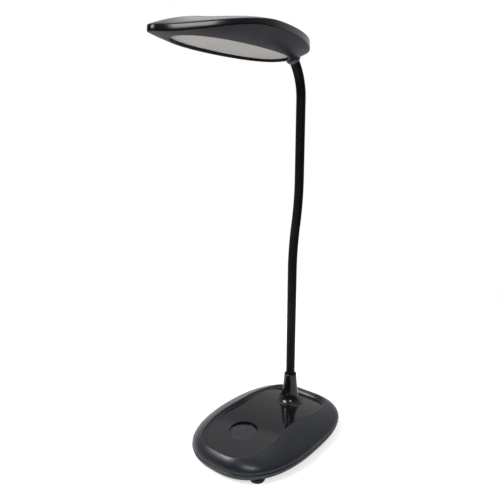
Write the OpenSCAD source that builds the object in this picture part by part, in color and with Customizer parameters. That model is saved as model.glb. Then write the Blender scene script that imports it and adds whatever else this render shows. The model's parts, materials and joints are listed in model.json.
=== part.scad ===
// Gooseneck desk lamp, lengths in millimetres.
// The lamp stands on z = 0 and its front faces -Y. The neck rises at the rear of the base, and the
// head reaches forward over the button.

/* [Base] */
// Greatest half width of the base
base_half_w = 53; // [50:0.5:56]
// Where along the base that width is
base_mid_y = 20; // [16:1:24]
// From there forward to the front edge
base_front = 78; // [74:1:82]
// From there back to the rear edge
base_rear = 73; // [70:1:76]
// Height of the seam between the top cover and the lower housing
seam_z = 9.4; // [9:0.1:9.8]
// Underside of the lower housing
housing_z = 2.5; // [2:0.1:3]
// Half width of the rim round the sunk panel
rim_half_w = 33.6; // [32:0.2:35]
// Where along the base that width is
rim_mid_y = 11; // [9:0.5:13]
// From there forward to the front of the rim
rim_front = 63; // [61:0.5:65]
// From there back to its rear
rim_rear = 72; // [70:0.5:74]
// Height the rim starts from at the front
rim_front_z = 18.9; // [18:0.1:20]
// Height the rim ends at behind
rim_rear_z = 16.4; // [16:0.1:18]
// How much higher the rim is beside the middle of the panel
rim_rise = 8.3; // [7:0.1:9]
// Highest point of the glossy panel
panel_z = 22.6; // [22.4:0.1:22.8]
// Radius of the panel's long crown
panel_crown = 305; // [300:5:330]
// Where along the base the crown is highest
panel_mid_y = 7; // [6:0.5:8]

/* [Button] */
// Where along the base the button is
button_y = -17; // [-20:0.5:-14]
// Radius of the round opening for the button
button_r = 12.4; // [12:0.1:12.6]
// Top of the button cap
button_top_z = 20.2; // [20:0.05:20.3]

/* [Neck] */
// Where along the base the neck stands
neck_y = 54; // [53:0.25:55]
// Outer radius of the neck's sleeve
neck_r = 4.15; // [4.1:0.05:4.2]
// How far back the neck leans between its foot and its top
neck_shift = 8.5; // [7:0.25:9]
// Where the shallow S bend starts
bend_z0 = 150; // [148:1:152]
// Where the shallow S bend ends
bend_z1 = 235; // [233:1:237]
// Height of the lowest neck joint
first_z = 62; // [61:0.5:63]
// Height of the highest neck joint
last_z = 303; // [302:0.5:303.5]
// Radius of the bend into the head
top_bend_r = 44; // [43:0.5:45]
// How far the neck turns before it enters the head
top_bend_deg = 40; // [38:1:42]

/* [Head] */
// Greatest half width of the head
head_half_w = 43.2; // [42:0.2:44]
// Where that width is
head_mid_y = -32; // [-34:1:-30]
// From there forward to the tip
head_front = 73; // [71:1:75]
// From there back to the rear end
head_rear = 91; // [89:0.5:93]
// Underside of the head round the light opening
head_z = 330; // [329.5:0.1:330.5]
// Top of the dome
dome_z = 349; // [348:0.5:351]
// Half width of the light opening
light_half_w = 21.5; // [20:0.25:23]

/* [Hidden] */
$fn = 64;
steps = 64;
origin_y = (base_mid_y + base_rear + head_mid_y - head_front) / 2;
bend_h = (bend_z1 - bend_z0) / 2;
bend_r = (bend_h * bend_h + neck_shift * neck_shift / 4) / neck_shift;
bend_deg = asin(bend_h / bend_r);
top_y = neck_y + neck_shift;
links = 9;
pitch_z = (last_z - first_z) / links;
core_r = 2.8;
knuckle_end = 1.6;
knuckle_gap = 2.8;
tongue_w = 1.25;
trunnion_r = 0.9;
lead_r = 0.5;
screw_spots = [[-40, 5], [40, 5], [-37, 62], [37, 62]];
foot_spots = [[-31, -37], [31, -37], [-31, 60], [31, 60]];
post_spots = [[-12.5, -33.5], [12.5, -33.5], [-12.5, 3.5], [12.5, 3.5]];
// Where each head screw stands, and how high its boss runs into the dome
head_screw_spots = [[-13, -58, 343.2], [13, -58, 343.2], [-13, 8, 346.2], [13, 8, 346.2]];
jack_y = 77;
jack_z = 7.5;
board_z = 11.6;

gloss = [0.05, 0.05, 0.06];
satin = [0.12, 0.12, 0.15];
steel = [0.62, 0.63, 0.65];
black = [0.03, 0.03, 0.035];

// ---- outlines -------------------------------------------------------------------------------

function spow(v, p) = sign(v) * pow(abs(v), p);

// One point of an egg outline: half width a about mid, then a front and a rear length, each with
// its own fullness. The angle runs from +X over the rear.
function egg(t, a, mid, front, full_f, rear, full_r) =
    sin(t) < 0
    ? [a * spow(cos(t), 2 / full_f), mid + front * spow(sin(t), 2 / full_f)]
    : [a * spow(cos(t), 2 / full_r), mid + rear * spow(sin(t), 2 / full_r)];

// The base's widest outline, drawn in by d
function base_line(t, d) =
    egg(t, base_half_w - d, base_mid_y, base_front - d, 2.5, base_rear - d, 2.8);

// The rim round the panel, drawn in by d, with a slight waist halfway
function waist(y) = 1 - 0.085 * exp(-pow((y - 15) / 22, 2));
function rim_line(t, d) =
    let (p = egg(t, rim_half_w - d, rim_mid_y, rim_front - d, 3.2, rim_rear - d, 4.4))
    [p[0] * waist(p[1]), p[1]];
function ease(g) = let (c = min(1, max(0, g))) c * c * (3 - 2 * c);
function rim_z(y) =
    mix(rim_front_z, rim_rear_z, ease((y + 54) / 132)) + rim_rise * exp(-pow((y - 14) / 46, 2));
function crown_z(y) =
    panel_z - panel_crown + sqrt(panel_crown * panel_crown - pow(y - panel_mid_y, 2));

// The head's seam outline, drawn in by d: a leaf with a small rounded tip in front and full behind
function head_line(t, d) =
    let (a = head_half_w - d, front = head_front - 1.4 * d, rear = head_rear - d,
        u = abs(270 - (t > 180 ? t : 270)) / 90,
        bell = pow(cos(90 * (1 - u)), 1.22), tip = 10 * sqrt(u * (2 - u)) * exp(-u / 0.08))
    t > 180 && t < 360
    ? [sign(t - 270) * (a * bell + tip), head_mid_y - front * (1 - u)]
    : [a * spow(cos(t), 1.2), head_mid_y + rear * spow(sin(t), 1.18)];

// How far the leaf is arched, seen from the side: 0 at start and 1 a length further back
function arch(y, start, len, p) = pow(sin(90 * min(1, max(0, (y - start) / len))), p);
function seam_head_z(y) = head_z - 0.3 + 8.2 * arch(y, -109, 66, 2.3);
function band_top_z(y) = head_z + 3.7 + 9.2 * arch(y, -109, 80, 1.6) + 0.017 * max(0, y + 40);

// The light opening, drawn in by d
function light_line(t, d) = egg(t, light_half_w - d, -25.5, 58.5 - d, 2.3, 58.5 - d, 2.3);

// Point on the neck's centre line at height z
function neck_at(z) =
    z < bend_z0 ? neck_y
    : z < bend_z0 + bend_h ? neck_y + bend_r - sqrt(bend_r * bend_r - pow(z - bend_z0, 2))
    : z < bend_z1 ? top_y - bend_r + sqrt(bend_r * bend_r - pow(bend_z1 - z, 2))
    : top_y;
function joint_z(i) = first_z + pitch_z * i;
function joint_at(i) = [0, neck_at(joint_z(i)), joint_z(i)];
function mix(a, b, g) = a + (b - a) * g;

// ---- builders -------------------------------------------------------------------------------

module place() {
    translate([0, -origin_y, 0]) children();
}

// Skins a list of rings that have the same number of points. With loop the last ring joins the
// first, and without it both ends are closed by a fan.
module skin(rings, loop) {
    n = len(rings[0]);
    m = len(rings);
    pts = [for (r = rings) for (p = r) p];
    ends = loop ? [] : [
        [for (k = [0:2]) [for (p = rings[0]) p[k]] * [for (p = rings[0]) 1 / n]],
        [for (k = [0:2]) [for (p = rings[m - 1]) p[k]] * [for (p = rings[m - 1]) 1 / n]]
    ];
    last = loop ? m - 1 : m - 2;
    sides = [for (j = [0:last]) for (i = [0:n - 1])
        let (a = j * n + i, b = j * n + (i + 1) % n,
            c = ((j + 1) % m) * n + (i + 1) % n, d = ((j + 1) % m) * n + i)
        each [[a, c, b], [a, d, c]]];
    caps = loop ? [] : [for (i = [0:n - 1])
        each [[m * n, i, (i + 1) % n],
            [m * n + 1, (m - 1) * n + (i + 1) % n, (m - 1) * n + i]]];
    polyhedron(concat(pts, ends), concat(sides, caps));
}

module outline(points) {
    polygon(points);
}

// A rod from p to q
module rod(p, q, r) {
    v = q - p;
    len = norm(v);
    translate(p)
        rotate([0, acos(v[2] / len), atan2(v[1], v[0])])
            cylinder(h = len, r = r);
}

// A round lead through points. Each length runs a little past the points between the ends.
module run(points, r) {
    last = len(points) - 2;
    for (i = [0:last]) {
        v = (points[i + 1] - points[i]) / norm(points[i + 1] - points[i]);
        rod(points[i] - v * (i > 0 ? 0.7 * r : 0), points[i + 1] + v * (i < last ? 0.7 * r : 0),
            r - 0.02 * (i % 2));
    }
}

module tube_section(r, bore) {
    difference() {
        circle(r = r);
        circle(r = bore);
    }
}

// A tube that follows the neck's whole curve, turning through deg at the top. Every second length
// is thinner by t on each face, and the others run a little way over it.
module neck_tube(r, bore, z0, deg) {
    t = 0.02;
    translate([0, neck_y, z0]) linear_extrude(bend_z0 + 0.8 - z0) tube_section(r, bore);
    translate([0, neck_y + bend_r, bend_z0])
        rotate([90, 0, -90]) rotate_extrude(angle = bend_deg)
            translate([bend_r, 0]) tube_section(r - t, bore + t);
    translate([0, top_y - bend_r, bend_z1])
        rotate([90, 0, 90]) rotate([0, 0, -bend_deg - 0.2])
            rotate_extrude(angle = bend_deg + 0.4)
                translate([bend_r, 0]) tube_section(r, bore);
    translate([0, top_y, bend_z1])
        linear_extrude(last_z - bend_z1) tube_section(r - t, bore + t);
    translate([0, top_y - top_bend_r, last_z]) rotate([90, 0, 90]) rotate([0, 0, -1])
        rotate_extrude(angle = deg + 1) translate([top_bend_r, 0]) tube_section(r, bore);
}

// A bar that turns through deg, as the neck's top bend does
module top_bar(r, deg) {
    translate([0, top_y - top_bend_r, last_z]) rotate([90, 0, 90])
        rotate_extrude(angle = deg) translate([top_bend_r, 0]) circle(r = r);
}

// Moves its children to where the top bend has turned through deg, with +Z along the neck
module at_bend(deg) {
    translate([0, top_y - top_bend_r, last_z])
        rotate([deg, 0, 0]) translate([0, top_bend_r, 0]) children();
}

// Lays the hinge of neck joint i along X for fore-and-aft joints and along Y for sideways ones
module hinge_axis(i) {
    translate(joint_at(i)) rotate(i % 2 == 0 ? [0, 90, 0] : [90, 0, 0]) children();
}

// Turns a joint's own X axis to the hinge of neck joint i
module at_joint(i) {
    translate(joint_at(i)) rotate([0, 0, i % 2 == 0 ? 0 : 90]) children();
}

// What is cut from both sides of the tongue of joint i
module tongue_sides(i) {
    at_joint(i) for (s = [-1, 1])
        translate([s * (tongue_w + 4) - 4, -8, -4]) cube([8, 16, 4 + knuckle_gap]);
}

// What the tongue of joint i turns on
module tongue_bore(i) {
    hinge_axis(i) cylinder(h = 2 * core_r, r = trunnion_r + 0.04, center = true);
}

// The slot between the two cheeks of joint i
module cheek_slot(i) {
    at_joint(i) translate([-tongue_w - 0.05, -8, -knuckle_gap])
        cube([2 * tongue_w + 0.1, 16, knuckle_gap + 4]);
}

// The two short pins on the cheeks of joint i
module trunnions(i) {
    hinge_axis(i) for (s = [-1, 1])
        translate([0, 0, s * 1.3]) cylinder(h = 1, r = trunnion_r, center = true);
}

// A bar of the core from joint i to the next: a bored tongue at its foot and two cheeks on top
module core_bar(i) {
    p = joint_at(i);
    q = joint_at(i + 1);
    v = (q - p) / norm(q - p);
    difference() {
        intersection() {
            rod(p - v * 4, q + v * 4, core_r);
            translate([-5, p[1] - 10, p[2] - knuckle_end])
                cube([10, 30, q[2] - p[2] + 2 * knuckle_end]);
        }
        tongue_sides(i);
        tongue_bore(i);
        cheek_slot(i + 1);
        rod(p - v * 5, q + v * 5, lead_r + 0.1);
    }
    trunnions(i + 1);
}

module link(i) {
    color(steel) place() core_bar(i - 1);
}

// A small pan head screw, its head down at the origin and its shank up
module screw(len, r, head_r, head_h) {
    cylinder(h = len, r = r);
    difference() {
        cylinder(h = head_h, r = head_r);
        translate([0, 0, -0.01]) cylinder(h = head_h * 0.6, r = head_r * 0.45, $fn = 6);
    }
}

// ---- base -----------------------------------------------------------------------------------

// A ring of the shoulder: g goes from the widest outline to the rim, h from the seam to the crest
function shoulder(g, h, d, drop) = [for (i = [0:steps - 1])
    let (t = 360 * i / steps, w = base_line(t, d), c = rim_line(t, -0.6 + 0.4 * sign(d)))
    [mix(w[0], c[0], g), mix(w[1], c[1], g), mix(seam_z + 0.1, rim_z(c[1]) - 0.25 - drop, h)]];
function rim_ring(d, drop) = [for (i = [0:steps - 1])
    let (p = rim_line(360 * i / steps, d)) [p[0], p[1], rim_z(p[1]) - drop]];
function ledge_ring(d, drop) = [for (i = [0:steps - 1])
    let (p = rim_line(360 * i / steps, d)) [p[0], p[1], crown_z(p[1]) - drop]];
function turn(a) = [(1 - pow(cos(a), 1.15)) / (1 - pow(cos(45), 1.15)),
    pow(sin(a) / sin(45), 1.15)];

module base_top_cover() {
    outer = [for (a = [0, 6, 12, 19, 26, 33, 39, 45]) let (k = turn(a)) shoulder(k[0], k[1], 0, 0)];
    inner = [for (a = [42, 34, 25, 16, 8, 0]) let (k = turn(a)) shoulder(k[0], k[1], 2.3, 2.6)];
    rim = [rim_ring(0, 0), rim_ring(0.7, 0.35), rim_ring(1.3, 1.2), ledge_ring(2.9, -0.4),
        ledge_ring(3, 2.15), ledge_ring(5.2, 2.15), ledge_ring(5.2, 3.8), ledge_ring(0.2, 3.8)];
    color(satin) place() difference() {
        union() {
            skin(concat(outer, rim, inner), true);
            for (p = screw_spots) translate([p[0], p[1], seam_z])
                cylinder(h = 0.65 * (rim_z(p[1]) - seam_z), r = 3.4, $fn = 32);
        }
        for (p = screw_spots) translate([p[0], p[1], 9]) cylinder(h = 7, r = 1.3, $fn = 32);
        translate([0, jack_y, jack_z]) rotate([-90, 0, 0]) cylinder(h = 30, r = 3.8);
        translate([-5, jack_y - 1.3, 0]) cube([10, 12, 12]);
    }
}

module base_panel() {
    pts = [for (i = [0:steps - 1]) rim_line(360 * i / steps, 3.2)];
    color(gloss) place() difference() {
        intersection() {
            translate([0, 0, 10]) linear_extrude(15) outline(pts);
            translate([0, panel_mid_y, panel_z - panel_crown]) rotate([0, 90, 0]) difference() {
                cylinder(h = 100, r = panel_crown, center = true, $fn = 256);
                cylinder(h = 102, r = panel_crown - 2, center = true, $fn = 256);
            }
        }
        translate([0, button_y, 0]) cylinder(h = 40, r = button_r);
        translate([0, neck_y, 0]) cylinder(h = 40, r = 7.2);
    }
}

function tray(d, z) = [for (i = [0:steps - 1])
    let (p = base_line(360 * i / steps, d)) [p[0], p[1], z]];

module base_bottom_cover() {
    z = housing_z;
    color(satin) place() difference() {
        union() {
            skin([tray(9, z), tray(6, z + 0.2), tray(3.2, z + 1), tray(1.5, z + 2.4),
                tray(0.7, z + 4.2), tray(0.4, seam_z - 0.1), tray(2.4, seam_z - 0.1),
                tray(2.7, z + 4.4), tray(4.6, z + 3), tray(8, z + 2.2), tray(11, z + 2)], false);
            for (p = screw_spots)
                translate([p[0], p[1], z + 1]) cylinder(h = seam_z - 0.25 - z - 1, r = 4, $fn = 32);
            for (p = post_spots)
                translate([p[0], p[1], z + 1]) cylinder(h = board_z - z - 1, r = 2.4, $fn = 32);
        }
        for (p = screw_spots) translate([p[0], p[1], z - 1]) {
            cylinder(h = 12, r = 1.7, $fn = 32);
            cylinder(h = 3.4, r = 3.2, $fn = 32);
        }
        for (p = post_spots) translate([p[0], p[1], z + 3]) cylinder(h = 12, r = 0.9, $fn = 32);
        for (p = foot_spots) translate([p[0], p[1], z - 1]) cylinder(h = 1.8, r = 6.7, $fn = 48);
        translate([0, jack_y, jack_z]) rotate([-90, 0, 0]) cylinder(h = 30, r = 3.8);
        translate([-5.2, jack_y - 1.3, z + 2]) cube([10.4, 15.1, 20]);
    }
}

module ballast_plate() {
    pts = [for (i = [0:steps - 1]) base_line(360 * i / steps, 12)];
    color(steel) place() translate([0, 0, housing_z + 2.2]) difference() {
        linear_extrude(4.2) outline(pts);
        for (p = screw_spots) translate([p[0], p[1], -1]) cylinder(h = 10, r = 4.6, $fn = 32);
        for (p = post_spots) translate([p[0], p[1], -1]) cylinder(h = 10, r = 3, $fn = 32);
        for (s = [-1, 1]) translate([s * 12, neck_y, -1]) cylinder(h = 10, r = 1.25, $fn = 32);
        translate([-7, jack_y - 6, -1]) cube([14, 40, 10]);
    }
}

module base_feet() {
    color(black) place() for (p = foot_spots) translate([p[0], p[1], 0])
        rotate_extrude() polygon([[0, 0], [5.4, 0], [6.1, 0.25], [6.45, 0.9], [6.5, 1.6],
            [6.5, housing_z + 0.75], [0, housing_z + 0.75]]);
}

module base_screws() {
    color(steel) place() for (p = screw_spots)
        translate([p[0], p[1], housing_z + 0.9]) screw(11, 1.28, 2.9, 1.45);
}

module power_button() {
    z = button_top_z;
    r = button_r - 0.25;
    color(gloss) place() translate([0, button_y, 0]) rotate_extrude() polygon([[0, z - 3],
        [r + 1.4, z - 3], [r + 1.4, z - 2.1], [r, z - 2.1], [r, z - 0.15], [r - 0.25, z],
        [r - 1.1, z - 0.05], [8, z - 0.32], [4, z - 0.5], [0, z - 0.55]]);
}

module switch_plunger() {
    color(black) place() translate([0, button_y, board_z + 2.4])
        cylinder(h = button_top_z - 3 - board_z - 2.4, r = 1.7);
}

module tactile_switch() {
    top = button_top_z - 4;
    color(black) place() translate([0, button_y, board_z + 1.2]) difference() {
        union() {
            translate([-3, -3, 0.05]) cube([6, 6, top - board_z - 1.25]);
            for (s = [-1, 1]) for (k = [-1, 1])
                translate([s * 3.4 - 0.6, k * 2.2 - 0.35, 0]) cube([1.2, 0.7, 0.3]);
        }
        translate([0, 0, 0.2]) cylinder(h = 10, r = 1.75);
    }
}

module control_board() {
    color([0.05, 0.3, 0.16]) place() difference() {
        translate([-16, -37, board_z]) cube([32, 44, 1.2]);
        for (p = post_spots) translate([p[0], p[1], 0]) cylinder(h = 30, r = 1.1, $fn = 32);
    }
}

module board_parts() {
    color([0.2, 0.2, 0.22]) place() translate([0, 0, board_z + 1.2]) {
        translate([-9, -31, 0]) cube([6, 5, 1.6]);
        translate([3, -31, 0]) cube([4.4, 3.2, 1.1]);
        translate([6, -3, 0]) cube([5, 5, 2.6]);
        translate([-9, -3, 0]) cube([3.2, 2.6, 1.4]);
        translate([-4, 3.4, 0]) cube([8, 3.2, 3]);
    }
}

module board_screws() {
    color(steel) place() for (p = post_spots)
        translate([p[0], p[1], board_z + 1.2 + 1.2]) mirror([0, 0, 1]) screw(7, 0.88, 2, 1.2);
}

module dc_jack() {
    color(black) place() difference() {
        union() {
            translate([-4.5, jack_y - 0.8, housing_z + 2.3]) cube([9, 11, 6.5]);
            translate([0, jack_y, jack_z]) rotate([-90, 0, 0]) cylinder(h = 15, r = 3.6);
        }
        translate([0, jack_y + 3, jack_z]) rotate([-90, 0, 0]) cylinder(h = 20, r = 2.85);
    }
}

module dc_jack_pin() {
    color(steel) place() translate([0, jack_y + 3, jack_z]) rotate([-90, 0, 0])
        cylinder(h = 10, r = 1.05);
}

module base_leads() {
    z = board_z + 2.6;
    color([0.5, 0.05, 0.05]) place() {
        run([[2.5, jack_y - 1.6, 10.4], [18.6, 69, 12.2], [18.6, 22, 12.2], [2, 10, z],
            [2, 6.7, z]], 0.7);
        run([[-2, 6.7, z], [-2, 18, z], [0, 36, 10.2], [0, neck_y - 2, 10.2],
            [0, neck_y, 11.2]], 0.6);
    }
}

// ---- neck -----------------------------------------------------------------------------------

module neck_bracket() {
    z = housing_z + 6.4;
    color(steel) place() translate([0, neck_y, z]) difference() {
        union() {
            translate([-9, -8, 0]) cube([18, 16, 2.6]);
            for (s = [-1, 1]) translate([s * 9, 0, 0]) cylinder(h = 2.6, r = 8);
            cylinder(h = 6.2, r = 6.6);
        }
        translate([0, 0, 2.5]) cylinder(h = 10, r = 4.55);
        translate([0, 0, -1]) cylinder(h = 10, r = 1.4);
        translate([-1.2, -12, -1]) cube([2.4, 12, 3.4]);
        for (s = [-1, 1]) translate([s * 12, 0, -1]) cylinder(h = 10, r = 1.7, $fn = 32);
    }
}

module bracket_screws() {
    color(steel) place() for (s = [-1, 1])
        translate([s * 12, neck_y, housing_z + 6.4 + 4]) mirror([0, 0, 1])
            screw(7.6, 1.22, 2.6, 1.4);
}

module neck_nut() {
    color(steel) place() translate([0, neck_y, housing_z + 12.7]) difference() {
        cylinder(h = 2.4, r = 7, $fn = 6);
        translate([0, 0, -1]) cylinder(h = 10, r = 4.53);
    }
}

// The trumpet flare that runs from the sleeve into the panel. Its foot follows the panel's crown.
function flare_r(h) = 4.6 + 9.6 * exp(-pow(h / 8.75, 0.6));
function flare_ring(r, h) = [for (i = [0:47])
    let (y = neck_y + r * sin(7.5 * i), lift = crown_z(y) - crown_z(neck_y))
    [r * cos(7.5 * i), y, crown_z(neck_y) + h + lift * exp(-pow(h / 7, 2))]];

module neck_collar() {
    side = [for (h = [0.2, 0.5, 1.2, 2.4, 4.2, 7, 11, 16, 22, 28.4]) flare_ring(flare_r(h), h)];
    color(gloss) place()
        skin(concat([flare_ring(4.6, 0.06), flare_ring(13.9, 0.06)], side,
            [flare_ring(5.5, 29.2), flare_ring(5.1, 29.4), flare_ring(4.6, 29.3),
            flare_ring(4.6, 12)]), true);
}

module neck_ferrule_lower() {
    color(steel) place() {
        difference() {
            union() {
                translate([0, neck_y, 11.45]) cylinder(h = 11, r = 4.5);
                translate([0, neck_y, 22]) cylinder(h = first_z + knuckle_end - 22, r = core_r);
            }
            cheek_slot(0);
            translate([0, neck_y, 0]) cylinder(h = first_z + 10, r = lead_r + 0.1);
        }
        trunnions(0);
    }
}

module neck_link_1() { link(1); }
module neck_link_2() { link(2); }
module neck_link_3() { link(3); }
module neck_link_4() { link(4); }
module neck_link_5() { link(5); }
module neck_link_6() { link(6); }
module neck_link_7() { link(7); }
module neck_link_8() { link(8); }
module neck_link_9() { link(9); }

module neck_ferrule_upper() {
    color(steel) place() difference() {
        union() {
            intersection() {
                top_bar(core_r, top_bend_deg + 14);
                translate([-20, 0, last_z + knuckle_gap]) cube([40, 90, 60]);
            }
            intersection() {
                translate([0, top_y, last_z - knuckle_end]) cylinder(h = knuckle_end + 4, r = core_r);
                at_joint(links) translate([-tongue_w, -8, -4]) cube([2 * tongue_w, 16, 10]);
            }
        }
        tongue_bore(links);
        translate([0, top_y, last_z - 10]) cylinder(h = 10.01, r = lead_r + 0.1);
        top_bar(lead_r + 0.1, top_bend_deg + 16);
    }
}

module neck_sleeve() {
    color(black) place() neck_tube(neck_r, 3.4, 24, top_bend_deg + 4);
}

module neck_lead() {
    color([0.5, 0.05, 0.05]) place() {
        rod([0, neck_y, 11.9], joint_at(0) + [0, 0, 0.3], lead_r - 0.02);
        for (i = [0:links - 1]) {
            v = (joint_at(i + 1) - joint_at(i)) / norm(joint_at(i + 1) - joint_at(i));
            rod(joint_at(i) - v * 0.3, joint_at(i + 1) + v * 0.3, lead_r - 0.02 * (i % 2));
        }
        top_bar(lead_r - 0.02, top_bend_deg + 14);
    }
}

// The small grey bush where the neck enters the head
module neck_socket() {
    color([0.45, 0.45, 0.47]) place() at_bend(top_bend_deg) rotate_extrude()
        polygon([[4.3, 1.6], [4.8, 1.6], [5.3, 2.1], [6.1, 3.6], [6.1, 5.2], [4.3, 5.2]]);
}

module head_nut() {
    color(steel) place() at_bend(top_bend_deg + 10.5) difference() {
        translate([0, 0, -1.3]) cylinder(h = 2.6, r = 5.2, $fn = 6);
        cylinder(h = 10, r = core_r + 0.05, center = true);
    }
}

// ---- head -----------------------------------------------------------------------------------

function head_ring(g, d, rise) = [for (i = [0:steps - 1])
    let (t = 360 * i / steps, o = light_line(t, 0), s = head_line(t, d),
        z = mix(head_z, seam_head_z(s[1]) - 0.1, pow(g, 1.35)))
    [mix(o[0], s[0], g), mix(o[1], s[1], g), z + rise]];
function edge_ring(d, rise) = [for (i = [0:steps - 1])
    let (s = head_line(360 * i / steps, d)) [s[0], s[1], seam_head_z(s[1]) + rise]];
function band_ring(d, rise) = [for (i = [0:steps - 1])
    let (s = head_line(360 * i / steps, d)) [s[0], s[1], band_top_z(s[1]) + rise]];
function dome_ring(k, d, drop) = [for (i = [0:steps - 1])
    let (s = head_line(360 * i / steps, d), z = band_top_z(s[1]))
    [s[0] * k, mix(-25, s[1], k), z + (dome_z - z) * (1 - pow(k, 2.2)) - drop]];

module head_frame() {
    color([0.2, 0.21, 0.27]) place() difference() {
        skin(concat([for (g = [0, 0.12, 0.28, 0.44, 0.6, 0.76, 0.9, 1]) head_ring(g, 0, 0)],
            [edge_ring(1.8, -0.1), head_ring(1, 3.4, 0.6), head_ring(0.6, 3.4, 1.8),
            head_ring(0.3, 3.4, 1.9), head_ring(0.07, 3.4, 2.1), head_ring(0, 3.4, 2.3)]), true);
        at_bend(top_bend_deg) cylinder(h = 30, r = 6.25, center = true);
    }
}

module head_top_cover() {
    color(gloss) place() difference() {
        union() {
            skin([dome_ring(0.12, 3.2, 1.9), dome_ring(0.4, 3.2, 1.9),
                dome_ring(0.6, 3.2, 1.9), dome_ring(0.8, 3.2, 1.9), dome_ring(0.93, 3.2, 1.9),
                band_ring(2.9, -2.2), edge_ring(1.9, 0.1), edge_ring(0, 0.1), edge_ring(0, 0.5),
                band_ring(0.25, -0.8), band_ring(0.7, -0.15), dome_ring(0.96, 0.9, 0),
                dome_ring(0.86, 0.9, 0), dome_ring(0.7, 0.9, 0), dome_ring(0.5, 0.9, 0),
                dome_ring(0.3, 0.9, 0), dome_ring(0.12, 0.9, 0)], false);
            for (p = head_screw_spots) translate([p[0], p[1], head_z + 5.75])
                cylinder(h = p[2] - head_z - 5.75, r = 2.3, $fn = 32);
        }
        for (p = head_screw_spots) translate([p[0], p[1], head_z + 5])
            cylinder(h = 5.5, r = 1.03, $fn = 32);
    }
}

module diffuser() {
    lip = [for (i = [0:steps - 1]) light_line(360 * i / steps, -1.3)];
    lens = [for (i = [0:steps - 1]) light_line(360 * i / steps, 0.15)];
    color([0.75, 0.74, 0.72]) place() {
        translate([0, 0, head_z + 2.2]) linear_extrude(1) outline(lens);
        translate([0, 0, head_z + 2.5]) linear_extrude(0.75) outline(lip);
    }
}

module led_board() {
    pts = [for (i = [0:steps - 1]) light_line(360 * i / steps, 1.5)];
    color([0.85, 0.85, 0.83]) place() translate([0, 0, head_z + 4.4]) difference() {
        linear_extrude(1.2) outline(pts);
        for (p = head_screw_spots) translate([p[0], p[1], -1]) cylinder(h = 5, r = 1.2, $fn = 32);
    }
}

module led_emitters() {
    color([0.9, 0.85, 0.5]) place() for (i = [0:9]) for (s = [-1, 1])
        translate([s * 7 - 1.4, -64 + i * 8 - 1.75, head_z + 3.7]) cube([2.8, 3.5, 0.7]);
}

module head_screws() {
    color(steel) place() for (p = head_screw_spots)
        translate([p[0], p[1], head_z + 4.4 - 1.1]) screw(5.4, 1, 2, 1.1);
}

module head_lead() {
    color([0.5, 0.05, 0.05]) place()
        run([[0, 44.3, 338.7], [0, 40, 340.6], [0, 30, head_z + 6.4], [0, 20, head_z + 6.3]], 0.6);
}

base_top_cover();
base_panel();
base_bottom_cover();
ballast_plate();
base_feet();
base_screws();
power_button();
switch_plunger();
tactile_switch();
control_board();
board_parts();
board_screws();
dc_jack();
dc_jack_pin();
base_leads();
neck_bracket();
bracket_screws();
neck_nut();
neck_collar();
neck_ferrule_lower();
neck_link_1();
neck_link_2();
neck_link_3();
neck_link_4();
neck_link_5();
neck_link_6();
neck_link_7();
neck_link_8();
neck_link_9();
neck_ferrule_upper();
neck_sleeve();
neck_lead();
neck_socket();
head_nut();
head_frame();
head_top_cover();
diffuser();
led_board();
led_emitters();
head_screws();
head_lead();
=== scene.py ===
# Gooseneck desk lamp: smooth surfaces, finishes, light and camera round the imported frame.
# Shapes are worked out in millimetres and put into the meshes in metres.
import json
import math

import bpy
import numpy as np
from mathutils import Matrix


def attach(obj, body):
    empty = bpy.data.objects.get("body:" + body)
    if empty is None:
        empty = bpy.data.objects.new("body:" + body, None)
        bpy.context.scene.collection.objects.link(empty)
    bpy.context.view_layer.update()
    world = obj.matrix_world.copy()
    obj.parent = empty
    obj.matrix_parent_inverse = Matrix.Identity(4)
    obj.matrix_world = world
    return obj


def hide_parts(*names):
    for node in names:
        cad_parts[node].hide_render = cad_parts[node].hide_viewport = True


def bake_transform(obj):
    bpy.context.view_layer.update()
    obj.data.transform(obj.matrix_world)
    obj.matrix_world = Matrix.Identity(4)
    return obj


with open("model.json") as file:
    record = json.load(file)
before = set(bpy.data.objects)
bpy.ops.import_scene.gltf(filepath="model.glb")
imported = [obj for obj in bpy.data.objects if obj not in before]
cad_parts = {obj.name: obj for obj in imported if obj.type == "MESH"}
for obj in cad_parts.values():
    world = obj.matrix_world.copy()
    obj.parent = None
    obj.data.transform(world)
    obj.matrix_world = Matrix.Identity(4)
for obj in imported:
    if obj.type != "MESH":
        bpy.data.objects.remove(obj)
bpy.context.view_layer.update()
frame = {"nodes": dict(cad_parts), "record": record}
nodes = frame["nodes"]
print("frame loaded:", len(nodes), "nodes")

toMetres = 0.001

base = {
    "halfWidth": 53.0, "midY": 20.0, "front": 78.0, "rear": 73.0,
    "frontFullness": 2.5, "rearFullness": 2.8,
    "seamZ": 9.4, "housingZ": 2.5,
    "rimHalfWidth": 33.6, "rimMidY": 11.0, "rimFront": 63.0, "rimRear": 72.0,
    "rimFrontFullness": 3.2, "rimRearFullness": 4.4,
    "rimFrontZ": 18.9, "rimRearZ": 16.4, "rimEaseFrom": -54.0, "rimEaseLength": 132.0,
    "rimRise": 8.3, "rimRiseY": 14.0, "rimRiseLength": 46.0,
    "waist": 0.085, "waistY": 15.0, "waistLength": 22.0,
    "shoulderTurn": 45.0, "shoulderPower": 1.15,
    "panelZ": 22.6, "panelCrown": 305.0, "panelCrownY": 7.0,
    "panelThickness": 2.0, "panelInset": 3.2,
    "around": 320,
}
button = {
    "y": -17.0, "opening": 12.4, "top": 20.2, "dish": 0.55, "dishDrop": 0.02,
    "radius": 12.15, "edge": 0.3, "flange": 13.55, "flangeTop": 2.1, "flangeFoot": 3.0,
    "around": 160,
}
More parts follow.
